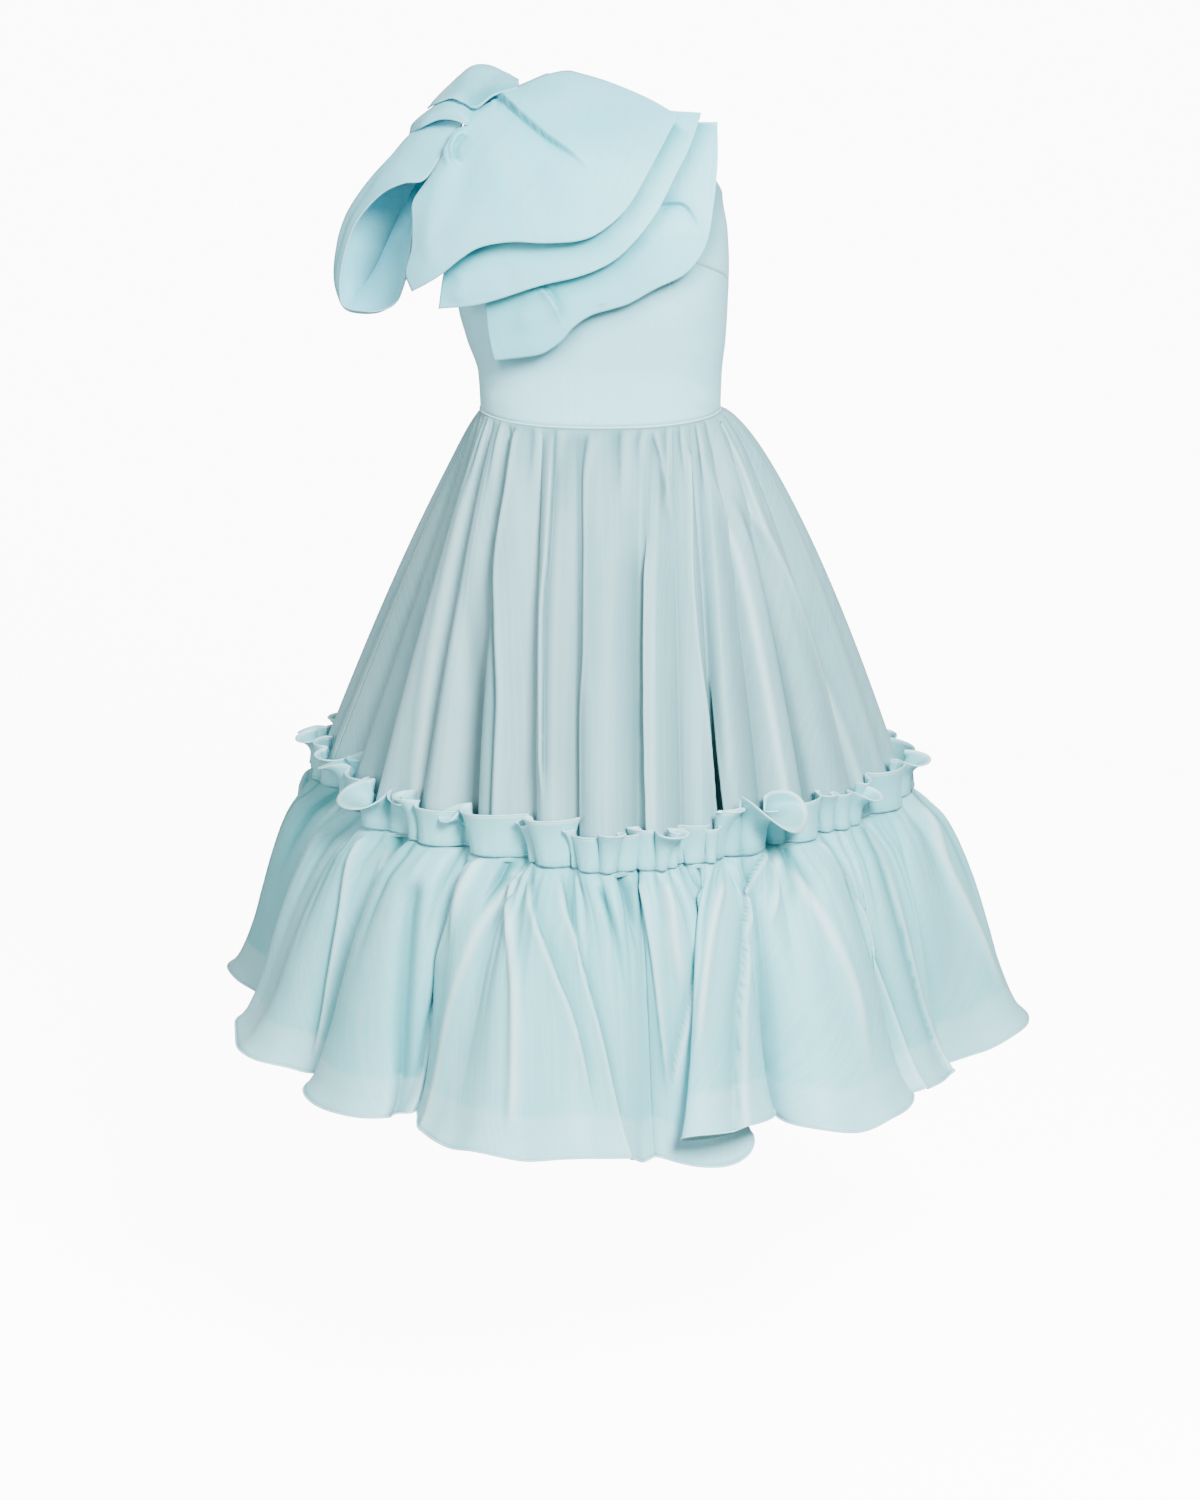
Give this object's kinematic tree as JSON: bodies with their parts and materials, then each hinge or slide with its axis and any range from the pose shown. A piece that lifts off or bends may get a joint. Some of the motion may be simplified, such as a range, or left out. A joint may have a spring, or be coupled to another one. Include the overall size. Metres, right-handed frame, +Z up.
{
  "type": "one-shoulder midi gown",
  "caption": "Midi gown with a fitted one-shoulder bodice, a layered bow over the shoulder, a pleated skirt, a ruffled heading and a gathered flounce.",
  "frame": {"origin": "middle of the waist on the axis of the body, where the wearer holds the gown", "axes": "+Z up along the body, +X towards the wearer's left, the wearer faces -Y"},
  "size_m": [0.9745, 0.8907, 1.1616],
  "materials": {
    "bodice_cloth": "soft satin",
    "bow_cloth": "soft satin",
    "skirt_cloth": "soft satin",
    "flounce_cloth": "soft satin"
  },
  "bodies": {
    "root": {"bodice_front": "bodice_cloth", "bodice_cup_left": "bodice_cloth", "bodice_back": "bodice_cloth", "bow_leaf_top": "bow_cloth", "bow_leaf_second": "bow_cloth", "bow_leaf_third": "bow_cloth", "bow_loop": "bow_cloth", "bow_knot_roll": "bow_cloth", "bow_crown": "bow_cloth", "skirt_front": "skirt_cloth", "skirt_back": "skirt_cloth", "frill_front": "flounce_cloth", "frill_back": "flounce_cloth", "flounce_front": "flounce_cloth", "flounce_back": "flounce_cloth"}
  },
  "joints": []
}
